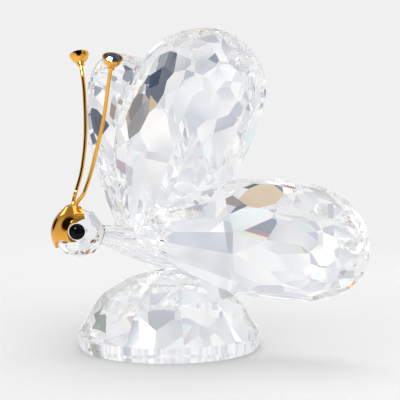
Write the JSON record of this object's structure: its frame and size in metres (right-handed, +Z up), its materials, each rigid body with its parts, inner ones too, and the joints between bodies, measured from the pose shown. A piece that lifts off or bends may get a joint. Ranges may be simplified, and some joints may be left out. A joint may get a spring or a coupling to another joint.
{
  "type": "butterfly ornament",
  "caption": "Clear cut-crystal butterfly with pear-shaped wings, gilt face mask and wire antennae, standing on a faceted half-ball base; ornamental.",
  "frame": {"origin": "centre of the base's flat underside", "axes": "+Z up from the surface it stands on, -X towards the butterfly's head, -Y towards the butterfly's left side"},
  "size_m": [0.0438, 0.0626, 0.0523],
  "materials": {
    "clear_crystal": "cut and polished",
    "gilt_metal": "polished gold plate",
    "dark_crystal": "cut and polished, dark",
    "black_cabochon": "high polish"
  },
  "bodies": {
    "root": {"base_dome": "clear_crystal", "body": "clear_crystal", "head_bead": "clear_crystal", "wing_upper_left": "clear_crystal", "wing_upper_right": "clear_crystal", "wing_lower_left": "clear_crystal", "wing_lower_right": "clear_crystal", "face_mask": "gilt_metal", "antenna_wire_left": "gilt_metal", "antenna_wire_right": "gilt_metal", "tip_cup_left": "gilt_metal", "tip_cup_right": "gilt_metal", "tip_stone_left": "dark_crystal", "tip_stone_right": "dark_crystal", "eye_left": "black_cabochon", "eye_right": "black_cabochon"}
  },
  "joints": []
}
